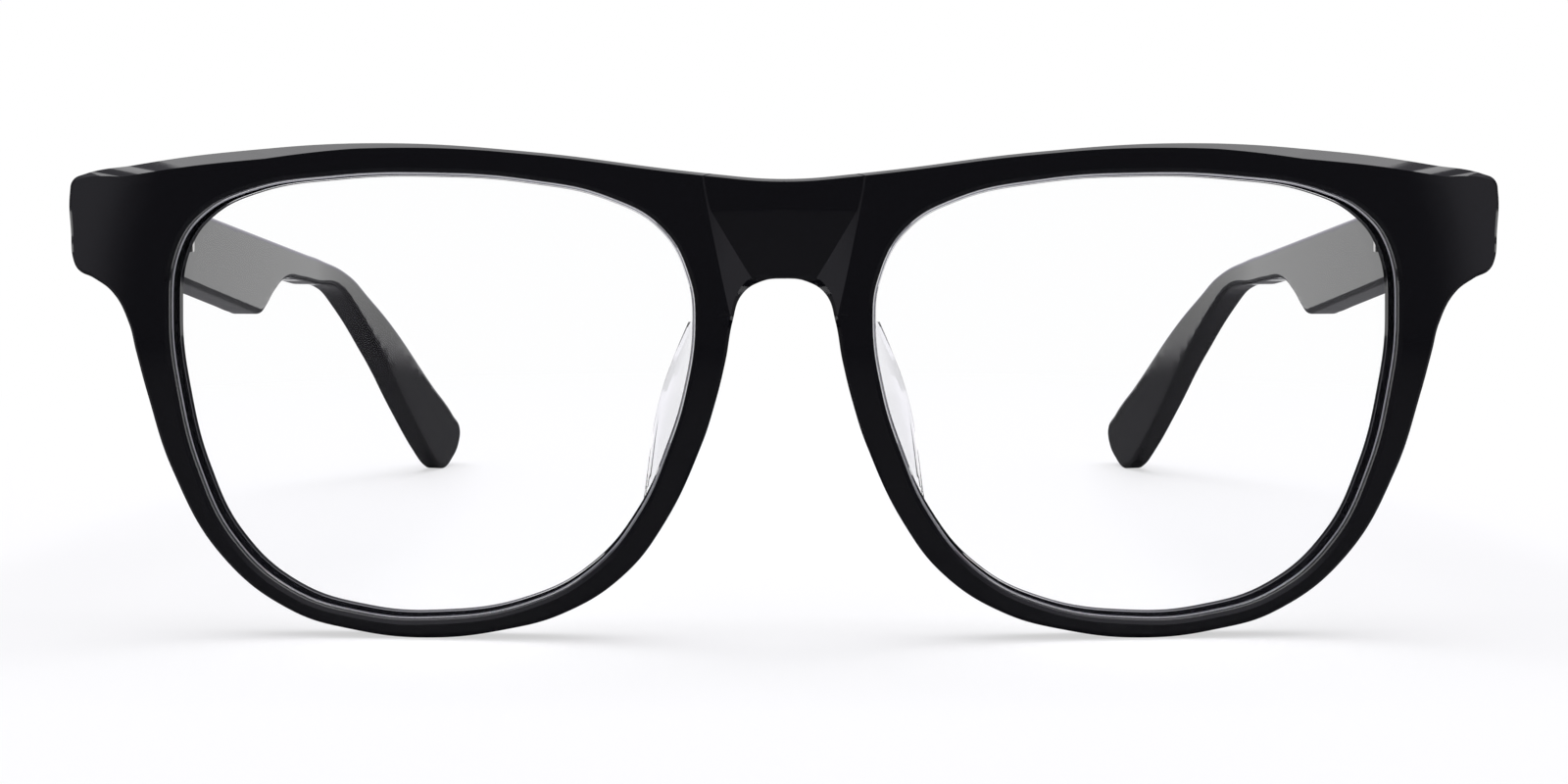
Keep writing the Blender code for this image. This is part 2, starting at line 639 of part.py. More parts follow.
def core_line():
    """The middle of the core wire in the side view, from behind the butt to short of the tip."""

    def under_top(length, drop):
        return (BUTT_Y + length, TEMPLE_TOP - TEMPLE_FALL * length - drop)

    return [
        under_top(TEMPLE_LEAF_LENGTH + 1.5 * MM, TEMPLE_HEIGHT * 0.45),
        under_top(BEND_LENGTH * 0.45, TEMPLE_HEIGHT * 0.42),
        under_top(BEND_LENGTH - 25.0 * MM, NECK_HEIGHT * 0.62),
        under_top(BEND_LENGTH - 10.0 * MM, NECK_HEIGHT * 0.5),
        (BEND_Y + ARM_REACH * 0.03, BEND_Z * 0.955),
        (BEND_Y + ARM_REACH * 0.15, BEND_Z * 0.893),
        (BEND_Y + ARM_REACH * 0.29, BEND_Z * 0.78),
        (BEND_Y + ARM_REACH * 0.46, BEND_Z * 0.605),
        (BEND_Y + ARM_REACH * 0.68, BEND_Z * 0.36),
    ]


def wire(name, points, width, thickness, collection):
    """A flat wire along points of the side view, drawn flat at its depth in the temple."""
    shape = bmesh.new()
    rings = []
    for k, (y, z) in enumerate(points):
        before = Vector(points[max(k - 1, 0)])
        after = Vector(points[min(k + 1, len(points) - 1)])
        along = (after - before).normalized()
        across = Vector((-along.y, along.x)) * width / 2
        rings.append(
            [
                shape.verts.new((CORE_DEPTH + a * thickness / 2, y + b * across.x, z + b * across.y))
                for a, b in ((-1, -1), (1, -1), (1, 1), (-1, 1))
            ]
        )
    for low, high in zip(rings, rings[1:]):
        for k in range(4):
            n = (k + 1) % 4
            shape.faces.new((low[k], low[n], high[n], high[k]))
    shape.faces.new(rings[0])
    shape.faces.new(rings[-1])
    bmesh.ops.recalc_face_normals(shape, faces=shape.faces)
    mesh = bpy.data.meshes.new(name)
    shape.to_mesh(mesh)
    shape.free()
    return mesh_object(name, mesh, collection)


def dense(line, spacing):
    """The line with a point about every spacing."""
    filled = [line[0]]
    for a, b in zip(line, line[1:]):
        count = max(1, round((Vector(b) - Vector(a)).length / spacing))
        filled += [tuple(Vector(a).lerp(Vector(b), k / count)) for k in range(1, count + 1)]
    return filled


def temple(side, parts, cutters):
    name = "temple_left" if side > 0 else "temple_right"
    made = plate(name, [temple_outline()], 0.0, TEMPLE_THICKNESS, TEMPLE_CHAMFER, parts)
    # The plate is drawn as (y, depth, z), and the temple's own points are (depth, y, z).
    made.data.transform(Matrix(((0, 1, 0, 0), (1, 0, 0, 0), (0, 0, 1, 0), (0, 0, 0, 1))))
    made.data.flip_normals()
    line = dense(core_line(), BENDING_STEP)
    mouth = (BUTT_Y - 1.0 * MM, line[0][1] + TEMPLE_FALL * (line[0][0] - BUTT_Y))
    along = (Vector(line[-1]) - Vector(line[-2])).normalized()
    end = tuple(Vector(line[-1]) + along * CORE_PLAY)
    width = CORE_WIDTH + 2 * CORE_PLAY
    channel = wire("channel", [mouth] + line[:-1] + [end], width, CORE_THICKNESS + 2 * CORE_PLAY, cutters)
    combine(made, [channel], "DIFFERENCE")
    stations = []
    for k in range(1, round((BEND_LENGTH + ARM_REACH) / BENDING_STEP)):
        stations.append((Vector((0.0, BUTT_Y + k * BENDING_STEP, 0.0)), Vector((0.0, 1.0, 0.0))))
    reshape(made, formed_temple, stations)
    core_name = "temple_core_left" if side > 0 else "temple_core_right"
    core = wire(core_name, line, CORE_WIDTH, CORE_THICKNESS, parts)
    reshape(core, formed_temple, stations)
    if side < 0:
        for piece in (made, core):
            turn_over(piece)
    combine(made, temple_leaf_shapes("seat", LEAF_PLAY, side, cutters), "DIFFERENCE")
    return made, core


def turn_over(piece):
    """Mirrors a left piece to the right."""
    piece.data.transform(Matrix.Diagonal((-1.0, 1.0, 1.0, 1.0)))
    piece.data.flip_normals()


def pivot(piece, empty):
    """Hangs a piece on the empty at its joint, with its origin there too."""
    piece.data.transform(Matrix.Translation(-empty.location))
    piece.parent = empty


def centre_depth(parts):
    """Moves everything along Y, so that the origin is half way from the front to the temple tips."""
    bpy.context.view_layer.update()
    solids = [piece for piece in parts.objects if piece.type == "MESH"]
    depths = [(piece.matrix_world @ vertex.co).y for piece in solids for vertex in piece.data.vertices]
    move = Matrix.Translation((0.0, -(min(depths) + max(depths)) / 2, 0.0))
    for piece in parts.objects:
        if piece.type == "EMPTY":
            piece.location = move @ piece.location
        elif piece.parent is None:
            place(piece, move)


def main():
    clear_scene()
    parts = new_collection("eyeglasses")
    cutters = new_collection("cutters", hidden=True)
    acetate = material("black_acetate", (0.006, 0.006, 0.008), 0.08)
    clear = material("clear_lens", (0.97, 0.98, 0.98), 0.02, transmission=1.0)
    pad_clear = material("clear_acetate", (0.93, 0.94, 0.95), 0.12, transmission=0.9)
    steel = material("hinge_steel", (0.62, 0.61, 0.59), 0.28, metallic=1.0)
    core_steel = material("core_steel", (0.48, 0.48, 0.47), 0.4, metallic=1.0)

    front_frame(parts, cutters).data.materials.append(acetate)
    for side in (-1, 1):
        hinge = bpy.data.objects.new("hinge_axis_left" if side > 0 else "hinge_axis_right", None)
        hinge.location = hinge_frame(side, False).translation
        parts.objects.link(hinge)
        glass = lens(side, parts)
        pad = nose_pad(side, parts)
        if side < 0:
            turn_over(glass)
            turn_over(pad)
        glass.data.materials.append(clear)
        pad.data.materials.append(pad_clear)
        hinge_leaf(side, False, parts, cutters).data.materials.append(steel)
        hinge_screw(side, parts, cutters).data.materials.append(steel)
        swinging_leaf = hinge_leaf(side, True, parts, cutters)
        swinging_leaf.data.materials.append(steel)
        arm, core = temple(side, parts, cutters)
        arm.data.materials.append(acetate)
        core.data.materials.append(core_steel)
        for piece in (swinging_leaf, arm, core):
            pivot(piece, hinge)
    for piece in parts.objects:
        if piece.type == "MESH":
            piece.data.shade_smooth()
            piece.data.set_sharp_from_angle(angle=math.radians(30.0))
    centre_depth(parts)


main()
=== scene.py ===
# %% [markdown]
# # Eyeglasses in black acetate
#
# These glasses are cut from sheet: a black front that is pressed to a gentle ball over each eye, two
# lenses that snap into grooves, two clear nose pads, and two temples that fold on five-barrel hinges.
# The working solids are already placed. This script gives every one of them its visible surface, and
# each step is a short lesson in how that piece can be made in Blender.

import json
import math

import bmesh
import bpy
import numpy as np
from mathutils import Matrix, Vector

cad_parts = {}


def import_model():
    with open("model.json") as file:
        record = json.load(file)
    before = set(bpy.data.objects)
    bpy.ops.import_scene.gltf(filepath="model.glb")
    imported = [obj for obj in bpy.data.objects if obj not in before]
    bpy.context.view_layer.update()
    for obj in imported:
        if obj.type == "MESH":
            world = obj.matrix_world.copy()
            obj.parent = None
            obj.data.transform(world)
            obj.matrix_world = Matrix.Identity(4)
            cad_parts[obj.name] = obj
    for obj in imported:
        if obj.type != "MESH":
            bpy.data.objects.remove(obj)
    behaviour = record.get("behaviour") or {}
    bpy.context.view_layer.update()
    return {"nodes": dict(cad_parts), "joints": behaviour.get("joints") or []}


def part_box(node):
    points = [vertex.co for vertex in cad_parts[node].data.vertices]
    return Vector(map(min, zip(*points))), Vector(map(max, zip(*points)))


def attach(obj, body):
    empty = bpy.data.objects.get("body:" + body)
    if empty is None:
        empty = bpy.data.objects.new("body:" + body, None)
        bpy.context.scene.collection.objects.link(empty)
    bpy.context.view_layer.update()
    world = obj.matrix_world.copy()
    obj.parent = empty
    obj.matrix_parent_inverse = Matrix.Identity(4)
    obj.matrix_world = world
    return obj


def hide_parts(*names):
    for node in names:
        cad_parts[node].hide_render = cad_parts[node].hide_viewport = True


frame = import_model()
nodes = frame["nodes"]

# %% [markdown]
# ## Units and driving sizes
#
# An optician measures frames in millimetres, so this script draws in millimetres too, and turns them
# into Blender's metres once, when a mesh is made. The lens shape is boxed: 53.2 wide and 44.9 high,
# with a 17.5 gap for the bridge. Nearly every other size hangs on those three.

# %% Driving sizes, in millimetres
MM = 0.001
LENS_WIDTH, LENS_HEIGHT, BRIDGE_GAP = 53.2, 44.9, 17.5
RIM_UNDER, RIM_OVER, RIM_SIDE = 1.8, 2.9, 4.3
END_REACH, END_HEIGHT = 11.0, 12.0
BRIDGE_DIP, BRIDGE_HEIGHT = 3.6, 9.85
FRONT_THICKNESS = 4.2
BASE_RADIUS = 132.5
FACE_ANGLE = math.radians(4.0)
FLAT_BRIDGE = 8.0
BUTT_Y, HINGE_BACK = 13.5, 1.9

EYE_X = BRIDGE_GAP / 2 + LENS_WIDTH / 2
EYE_Z = RIM_UNDER + LENS_HEIGHT / 2
FRONT_EDGE = BRIDGE_GAP / 2 + LENS_WIDTH + END_REACH
FRONT_TOP = RIM_UNDER + LENS_HEIGHT + RIM_OVER
BRIDGE_TOP = FRONT_TOP - BRIDGE_DIP
ARCH_Z = BRIDGE_TOP - BRIDGE_HEIGHT

# The drawing's depth starts at the foremost line of the face. The hinge joint says where that is.
FACE_Y = frame["joints"][0]["pos_m"][1] / MM - BUTT_Y - HINGE_BACK
print("foremost line at y =", round(FACE_Y, 2), "mm, front", round(2 * FRONT_EDGE, 1), "mm wide")

# %% [markdown]
# ## Smooth outlines
#
# A frame's outline is a hand-drawn curve through a few points. Blender's own Bezier curve with automatic
# handles draws it, and its evaluated mesh gives the points along it. `grown` moves such an outline
# outwards or inwards, which is how a bevel or a groove follows an edge.

# %% Outline helpers
def smooth_outline(points, resolution):
    """Points along a closed curve through the given ones, each (a, b) or (a, b, "corner")."""
    curve = bpy.data.curves.new("outline", "CURVE")
    curve.dimensions = "2D"
    curve.fill_mode = "NONE"
    curve.resolution_u = resolution
    spline = curve.splines.new("BEZIER")
    spline.bezier_points.add(len(points) - 1)
    spline.use_cyclic_u = True
    for knot, point in zip(spline.bezier_points, points):
        kind = "VECTOR" if len(point) == 3 else "AUTO"
        knot.handle_left_type = kind
        knot.handle_right_type = kind
        knot.co = (point[0], point[1], 0.0)
    guide = bpy.data.objects.new("outline", curve)
    bpy.context.scene.collection.objects.link(guide)
    bpy.context.view_layer.update()
    mesh = bpy.data.meshes.new_from_object(guide.evaluated_get(bpy.context.evaluated_depsgraph_get()))
    loop = np.array([vertex.co[:2] for vertex in mesh.vertices])
    bpy.data.objects.remove(guide)
    bpy.data.meshes.remove(mesh)
    return loop


def grown(loop, distance):
    """The closed outline moved outwards by one distance, or by one for each point."""
    before, after = np.roll(loop, 1, axis=0), np.roll(loop, -1, axis=0)
    area = np.sum(loop[:, 0] * after[:, 1] - after[:, 0] * loop[:, 1])
    ahead = loop - before
    ahead /= np.linalg.norm(ahead, axis=1, keepdims=True)
    behind = after - loop
    behind /= np.linalg.norm(behind, axis=1, keepdims=True)
    along = ahead + behind
    along /= np.linalg.norm(along, axis=1, keepdims=True)
    reach = np.sign(area) * distance / np.maximum(0.5, np.sum(along * behind, axis=1))
    return loop + np.stack([along[:, 1] * reach, -along[:, 0] * reach], axis=1)


# %% The lens shape and the outer edge of the front
EYE_SHAPE = (
    (0.0, 1.0), (-0.37, 0.97), (-0.68, 0.89), (-0.88, 0.75), (-0.98, 0.53), (-1.0, 0.34),
    (-0.965, 0.02), (-0.90, -0.23), (-0.79, -0.52), (-0.61, -0.775), (-0.365, -0.93), (0.0, -1.0),
    (0.27, -0.98), (0.54, -0.88), (0.76, -0.65), (0.89, -0.34), (0.965, 0.0), (1.0, 0.35),
    (0.97, 0.66), (0.88, 0.81), (0.70, 0.92), (0.37, 0.985),
)


def eye_point(across, up, right=0.0, above=0.0):
    """A point of the left eye: in halves of the lens from its middle, then moved by two lengths."""
    return (EYE_X + across * LENS_WIDTH / 2 + right, EYE_Z + up * LENS_HEIGHT / 2 + above)


def front_outline(resolution):
    """The outer edge of the whole front, from the middle of the bar over the left eye and back."""
    half_gap = BRIDGE_GAP / 2
    outer = EYE_X + LENS_WIDTH / 2
    corner_z = FRONT_TOP - END_HEIGHT
    half = [
        (0.0, BRIDGE_TOP), (half_gap * 0.9, BRIDGE_TOP + 0.6),
        (EYE_X - 0.37 * LENS_WIDTH / 2, FRONT_TOP - 0.85), (EYE_X + 0.20 * LENS_WIDTH / 2, FRONT_TOP),
        (outer - 6.0, FRONT_TOP - 0.85), (outer + 4.3, FRONT_TOP - 2.25),
        (FRONT_EDGE - 1.6, FRONT_TOP - 3.25), (FRONT_EDGE - 0.3, FRONT_TOP - 3.9),
        (FRONT_EDGE, FRONT_TOP - 5.2), (FRONT_EDGE - 0.25, corner_z + 2.7),
        (FRONT_EDGE - 0.6, corner_z), (FRONT_EDGE - 1.2, corner_z - 1.0),
        (FRONT_EDGE - 2.9, corner_z - 1.8),
        eye_point(1.0, 0.45, RIM_SIDE + 1.7), eye_point(1.0, 0.32, RIM_SIDE),
        eye_point(0.99, 0.19, RIM_SIDE - 0.55), eye_point(0.965, 0.0, RIM_SIDE - 1.1),
        eye_point(0.89, -0.34, RIM_SIDE - 1.65), eye_point(0.76, -0.65, 1.05, -1.75),
        eye_point(0.54, -0.88, -0.2, -RIM_UNDER - 0.2), eye_point(0.28, -0.975, 0.5, -RIM_UNDER + 0.15),
        eye_point(0.02, -1.0, 0.0, -RIM_UNDER), eye_point(-0.28, -0.965, 0.0, -RIM_UNDER + 0.1),
        eye_point(-0.48, -0.87, -0.8, -RIM_UNDER - 0.25), eye_point(-0.68, -0.70, -1.3, -2.1),
        eye_point(-0.82, -0.46, -1.5, -2.5), eye_point(-0.925, -0.15, -2.6, -1.3),
        (half_gap * 0.80, ARCH_Z - 13.1), (half_gap * 0.66, ARCH_Z - 8.2),
        (half_gap * 0.58, ARCH_Z - 4.3), (half_gap * 0.47, ARCH_Z - 1.65),
        (half_gap * 0.25, ARCH_Z - 0.3), (0.0, ARCH_Z),
    ]
    return smooth_outline(half + [(-x, z) for x, z in reversed(half[1:-1])], resolution)


opening = smooth_outline([eye_point(*point) for point in EYE_SHAPE], 16)
rim = front_outline(12)
print("opening:", len(opening), "points, outer edge:", len(rim), "points")

# %% [markdown]
# ## Pressing the sheet
#
# The flat sheet is warmed and pressed: each eye turns out by 4 degrees and takes a ball of 132.5 mm, while
# the bar over the nose stays a soft arc. Drawing everything flat and pressing it by a rule keeps the
# groove, the lens and the edges true to one another.

# %% The rule of the press
def front_slope(x):
    """How fast the face runs back at a distance x from the middle."""
    edge = math.tan(FACE_ANGLE) + (FLAT_BRIDGE - EYE_X) / BASE_RADIUS
    return np.where(x >= FLAT_BRIDGE, math.tan(FACE_ANGLE) + (x - EYE_X) / BASE_RADIUS, edge * x / FLAT_BRIDGE)


def front_run(x):
    """How far the face lies behind its foremost line."""
    start = FLAT_BRIDGE - EYE_X + math.tan(FACE_ANGLE) * BASE_RADIUS
    edge = math.tan(FACE_ANGLE) + (FLAT_BRIDGE - EYE_X) / BASE_RADIUS
    ball = (x - EYE_X + math.tan(FACE_ANGLE) * BASE_RADIUS) ** 2 / (2 * BASE_RADIUS)
    bar = start**2 / (2 * BASE_RADIUS) + edge * (x * x - FLAT_BRIDGE**2) / (2 * FLAT_BRIDGE)
    return np.where(x >= FLAT_BRIDGE, ball, bar)


def pressed(points):
    """Where the press puts flat (x, depth, z) points of the left half, in millimetres of the frame."""
    x, depth, z = points[..., 0], points[..., 1], points[..., 2]
    rise = (z - EYE_Z) / BASE_RADIUS
    into = np.stack([-front_slope(x), np.ones_like(x), -rise], axis=-1)
    into /= np.linalg.norm(into, axis=-1, keepdims=True)
    surface = np.stack([x, front_run(x) + rise * rise * BASE_RADIUS / 2, z], axis=-1)
    placed = surface + into * depth[..., None]
    placed[..., 1] += FACE_Y
    return placed


# %% Mesh helpers
def piece_from(name, points, faces, smooth_angle=30.0):
    """A mesh object from millimetre points, shaded smooth except at edges sharper than the angle."""
    mesh = bpy.data.meshes.new(name)
    mesh.from_pydata([tuple(map(float, p)) for p in np.asarray(points) * MM], [], [list(f) for f in faces])
    made = bpy.data.objects.new(name, mesh)
    bpy.context.scene.collection.objects.link(made)
    clean(made, smooth_angle)
    return made


def clean(made, smooth_angle=30.0):
    """Merges doubles, drops slivers, turns the faces outwards and sets the shading."""
    shape = bmesh.new()
    shape.from_mesh(made.data)
    bmesh.ops.remove_doubles(shape, verts=shape.verts, dist=2e-6)
    bmesh.ops.dissolve_degenerate(shape, edges=shape.edges, dist=1e-6)
    bmesh.ops.recalc_face_normals(shape, faces=shape.faces)
    shape.to_mesh(made.data)
    shape.free()
    made.data.shade_smooth()
    made.data.set_sharp_from_angle(angle=math.radians(smooth_angle))


def weigh_normals(made):
    """Lets the large faces rule the shading, so that a thin bevel doesn't bend it."""
    weigh = made.modifiers.new("weighted normals", "WEIGHTED_NORMAL")
    weigh.keep_sharp = True


# %% [markdown]
# ## The front
#
# The front is the piece that everyone sees, so its mesh is laid out one point at a time instead of by a Boolean.
# From a centre inside the opening, rays run out to the outer edge. Along each ray the mesh has a point at every
# line that matters: the edge of the opening, the end of its bevel, the creases of the bridge, and the
# bevel along the outer edge. A crease is then a row of real edges and stays crisp.

# %% Rays from inside the opening
CENTRE = np.array([EYE_X - 5.35, EYE_Z + 15.75])


def ray_reach(loop, angles):
    """How far each ray from the centre runs before it meets the closed outline."""
    a, b = loop, np.roll(loop, -1, axis=0)
    side = b - a
    found = np.empty(len(angles))
    for k, angle in enumerate(angles):
        ray = np.array([math.cos(angle), math.sin(angle)])
        cross = ray[0] * side[:, 1] - ray[1] * side[:, 0]
        cross = np.where(np.abs(cross) < 1e-12, 1e-12, cross)
        off = a - CENTRE
        along = (off[:, 0] * side[:, 1] - off[:, 1] * side[:, 0]) / cross
        share = (off[:, 0] * ray[1] - off[:, 1] * ray[0]) / cross
        hit = (share >= -1e-9) & (share <= 1 + 1e-9) & (along > 1e-9)
        found[k] = along[hit].min()
    return found


def angle_to(x, z):
    return math.atan2(z - CENTRE[1], x - CENTRE[0]) % (2 * math.pi)


def outline_distance(loop, x, z):
    """The distance of each point to the outline."""
    a, b = loop, np.roll(loop, -1, axis=0)
    side = b - a
    length = np.sum(side * side, axis=1)
    nearest = np.full(x.shape, np.inf)
    for start, run, square in zip(a, side, length):
        share = np.clip(((x - start[0]) * run[0] + (z - start[1]) * run[1]) / square, 0.0, 1.0)
        nearest = np.minimum(nearest, np.hypot(x - start[0] - share * run[0], z - start[1] - share * run[1]))
    return nearest


half_rim = rim[rim[:, 0] > -1e-6]
angles = np.concatenate([
    [angle_to(*point) for point in half_rim],
    [angle_to(*point) for point in opening[::2]],
    np.linspace(angle_to(0.0, BRIDGE_TOP), angle_to(0.0, ARCH_Z), 40),
])
angles = np.sort(angles)
angles = angles[np.concatenate([[True], np.diff(angles) > 2e-4])]
print("rays:", len(angles))

# %% [markdown]
# ## Bevels and the keyhole of the bridge
#
# A polished bevel runs along the top of the front, wide at the end pieces and narrow at the nose. The bar
# over the nose is carved: from each rim a triangular facet drops a millimetre to a hollow saddle.

# %% Depth of the carving
EDGE = 0.35
SIDE_BAND = 0.45
TOP_BAND = 1.15
FACET_SLOPE = 0.5
FACET_OUTER = ((5.3, 32.2), (6.3, 36.7), (7.55, 42.7), (8.0, 45.0), (8.2, 46.6))
FACET_INNER = ((2.9, 35.8), (3.55, 36.8), (7.35, 43.0), (7.8, 45.0), (8.0, 46.6))
ARCH_BAND = 0.7


def band_width(x, z):
    """The width of the bevel along the outer edge: the top's widens from the nose to the end pieces."""
    top = np.interp(np.abs(x), (30.0, 43.0, 52.0, 67.0, 71.0), (0.3, 0.6, TOP_BAND, TOP_BAND, SIDE_BAND))
    side = np.interp(z, (FRONT_TOP - 12.0, FRONT_TOP - 8.0), (EDGE, SIDE_BAND))
    on_top = np.where(np.abs(x) > 60.0, np.clip((z - FRONT_TOP + 6.0) / 2.0, 0.0, 1.0), z > FRONT_TOP - 5.5)
    arch = np.interp(np.abs(x), (3.6, 5.2), (ARCH_BAND, EDGE))
    return np.where((np.abs(x) < 5.2) & (z < 38.0), arch, side + (top - side) * on_top)


def facet_lines(z):
    heights = [point[1] for point in FACET_OUTER]
    outer = np.interp(z, heights, [point[0] for point in FACET_OUTER])
    inner = np.interp(z, [point[1] for point in FACET_INNER], [point[0] for point in FACET_INNER])
    return outer, np.minimum(inner, outer - 0.15)


def carved(x, z):
    """The depth of the front face under the flat sheet."""
    outer, inner = facet_lines(z)
    saddle = FACET_SLOPE * np.clip(outer - np.abs(x), 0.0, outer - inner)
    width = band_width(x, z)
    bevel = width * 0.75 * np.clip(1.0 - outline_distance(rim, x, z) / width, 0.0, 1.0)
    inside = EDGE * np.clip(1.0 - outline_distance(opening, x, z) / EDGE, 0.0, 1.0)
    return saddle + np.maximum(bevel, inside)


# %% Lay out the front's left half, mirror it and weld the halves
def crossing(line, angles):
    """How far each ray runs to a facet line, or infinity where it passes the line's ends."""
    found = np.full(len(angles), np.inf)
    for (ax, az), (bx, bz) in zip(line, line[1:]):
        for k, angle in enumerate(angles):
            ray = (math.cos(angle), math.sin(angle))
            side = (bx - ax, bz - az)
            cross = ray[0] * side[1] - ray[1] * side[0]
            share = ((ax - CENTRE[0]) * ray[1] - (az - CENTRE[1]) * ray[0]) / cross
            along = ((ax - CENTRE[0]) * side[1] - (az - CENTRE[1]) * side[0]) / cross
            if 0.0 <= share <= 1.0 and along > 0.0:
                found[k] = min(found[k], along)
    return found


def band_reach(start, end):
    """How far each ray runs to the inner line of the bevel along the outer edge."""
    shares = np.linspace(0.0, 1.0, 90)
    distance = start[:, None] + (end - start)[:, None] * shares
    x = CENTRE[0] + np.cos(angles)[:, None] * distance
    z = CENTRE[1] + np.sin(angles)[:, None] * distance
    inside = outline_distance(rim, x, z) / band_width(x, z) - 1.0
    found = end.copy()
    for k, row in enumerate(inside):
        clear = np.flatnonzero(row > 0)
        if len(clear) and clear[-1] < len(shares) - 1:
            last = clear[-1]
            share = row[last] / (row[last] - row[last + 1])
            found[k] = distance[k, last] + share * (distance[k, last + 1] - distance[k, last])
    return found


def front_half():
    to_plane = np.where(np.cos(angles) < -1e-9, -CENTRE[0] / np.minimum(np.cos(angles), -1e-9), np.inf)
    start = ray_reach(opening, angles)
    start_band = ray_reach(grown(opening, EDGE), angles)
    groove = ray_reach(grown(opening, 0.7), angles)
    end = np.minimum(ray_reach(rim, angles), to_plane)
    end_band = band_reach(start_band, end)
    inner_line = np.minimum(crossing(FACET_INNER, angles), end_band)
    outer_line = np.minimum(crossing(FACET_OUTER, angles), inner_line)
    no_facet = outer_line >= end_band - 1e-6
    outer_line = np.where(no_facet, start_band + 0.6 * (end_band - start_band), outer_line)
    inner_line = np.where(no_facet, start_band + 0.8 * (end_band - start_band), inner_line)
    stations = [start, start_band]
    for low, high, count in ((start_band, outer_line, 4), (outer_line, inner_line, 3), (inner_line, end_band, 3)):
        stations += [low + (high - low) * k / count for k in range(1, count + 1)]
    stations.append(end)
    reach = np.stack(stations, axis=1)
    ray = np.stack([np.cos(angles), np.sin(angles)], axis=1)

    def at(distance):
        x = CENTRE[0] + ray[:, 0:1] * distance
        x = np.where(np.abs(x) < 1e-7, 0.0, x)
        return x, CENTRE[1] + ray[:, 1:2] * distance

    x, z = at(reach)
    face = np.stack([x, carved(x, z), z], axis=-1)
    edge_gap = np.minimum(outline_distance(rim, x, z), outline_distance(opening, x, z))
    back = np.stack([x, FRONT_THICKNESS - EDGE * np.clip(1.0 - edge_gap / EDGE, 0.0, 1.0), z], axis=-1)
    wall = []
    for share in (0.33, 0.67):
        wall.append(face[:, -1:] * (1 - share) + back[:, -1:] * share)
    lip = []
    for depth, distance in ((3.2, start), (2.1, groove), (1.0, start)):
        lip_x, lip_z = at(distance[:, None])
        lip.append(np.stack([lip_x, np.full_like(lip_x, depth), lip_z], axis=-1))
    ring = np.concatenate([face, *wall, back[:, ::-1], *lip], axis=1)
    at_plane = np.abs(x[:, -1]) < 1e-6
    return pressed(ring), at_plane, face.shape[1]


def front_frame():
    ring, at_plane, face_count = front_half()
    rays, count = ring.shape[:2]
    points = ring.reshape(-1, 3)
    faces = []
    for i in range(rays):
        j = (i + 1) % rays
        for k in range(count):
            n = (k + 1) % count
            on_wall = face_count - 1 <= k < face_count + 2
            if on_wall and at_plane[i] and at_plane[j]:
                continue
            faces.append((i * count + k, j * count + k, j * count + n, i * count + n))
    other = [tuple(len(points) + v for v in reversed(face)) for face in faces]
    both = np.concatenate([points, points * np.array([-1.0, 1.0, 1.0])])
    return piece_from("acetate_front", both, faces + other, 16.0)


front = front_frame()
weigh_normals(front)
print("front:", len(front.data.polygons), "faces")

# %% [markdown]
# ## End blocks
#
# Behind each end piece the sheet is left thicker, so that the temple has something to butt against. The
# block takes a pocket for the hinge's leaf, cut with a Boolean that is applied at once.

# %% Blocks behind the end pieces
def rounded_box(name, low, high, radius, segments=3):
    """A box between two corners in millimetres of the frame, with rounded edges."""
    shape = bmesh.new()
    bmesh.ops.create_cube(shape, size=1.0)
    low, high = Vector(low), Vector(high)
    place = Matrix.Translation((low + high) / 2) @ Matrix.Diagonal((*(high - low), 1.0))
    bmesh.ops.transform(shape, matrix=place, verts=shape.verts)
    if radius > 0:
        bmesh.ops.bevel(
            shape, geom=shape.edges[:], offset=radius, segments=segments, profile=0.5, affect="EDGES"
        )
    bmesh.ops.scale(shape, vec=(MM, MM, MM), verts=shape.verts)
    mesh = bpy.data.meshes.new(name)
    shape.to_mesh(mesh)
    shape.free()
    made = bpy.data.objects.new(name, mesh)
    bpy.context.scene.collection.objects.link(made)
    return made


def combine(target, others, operation):
    """Adds or cuts the other solids, one after the other, and leaves the result in the target's mesh."""
    for other in others:
        modifier = target.modifiers.new(other.name, "BOOLEAN")
        modifier.operation = operation
        modifier.object = other
    bpy.context.view_layer.update()
    solved = bpy.data.meshes.new_from_object(target.evaluated_get(bpy.context.evaluated_depsgraph_get()))
    target.modifiers.clear()
    target.data = solved
    for other in others:
        bpy.data.objects.remove(other)


LEAF_PLAY = 0.1
blocks = []
for side, name in ((1, "left"), (-1, "right")):
    leaf_low, leaf_high = (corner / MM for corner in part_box("front_hinge_leaf_" + name))
    ends = sorted((side * 61.75, side * 71.15))
    block = rounded_box(
        "end_block_" + name, (ends[0], FACE_Y + 9.5, 37.1), (ends[1], FACE_Y + BUTT_Y, 45.3), 0.5
    )
    butt = FACE_Y + BUTT_Y
    pocket = rounded_box(
        "pocket", (leaf_low.x - LEAF_PLAY, butt - 1.0, leaf_low.z - LEAF_PLAY),
        (leaf_high.x + LEAF_PLAY, butt + 1.0, leaf_high.z + LEAF_PLAY), 0.0,
    )
    combine(block, [pocket], "DIFFERENCE")
    clean(block)
    weigh_normals(block)
    blocks.append(block)
print("blocks:", [block.name for block in blocks])

# %% [markdown]
# ## Lenses
#
# Each lens is a shallow shell of the opening's shape. Rings of the outline, shrunk towards the middle,
# give both faces, and the press gives them the same ball as the front. A lens is ground to a V at its
# edge, which sits in the rim's groove; the narrow ground ring beside it stays pale.

# %% Lens mesh
LENS_THICKNESS, LENS_DEPTH = 2.2, 2.1
GROUND_RING = 0.14
RING_SHARES = (0.12, 0.3, 0.48, 0.64, 0.78, 0.9)


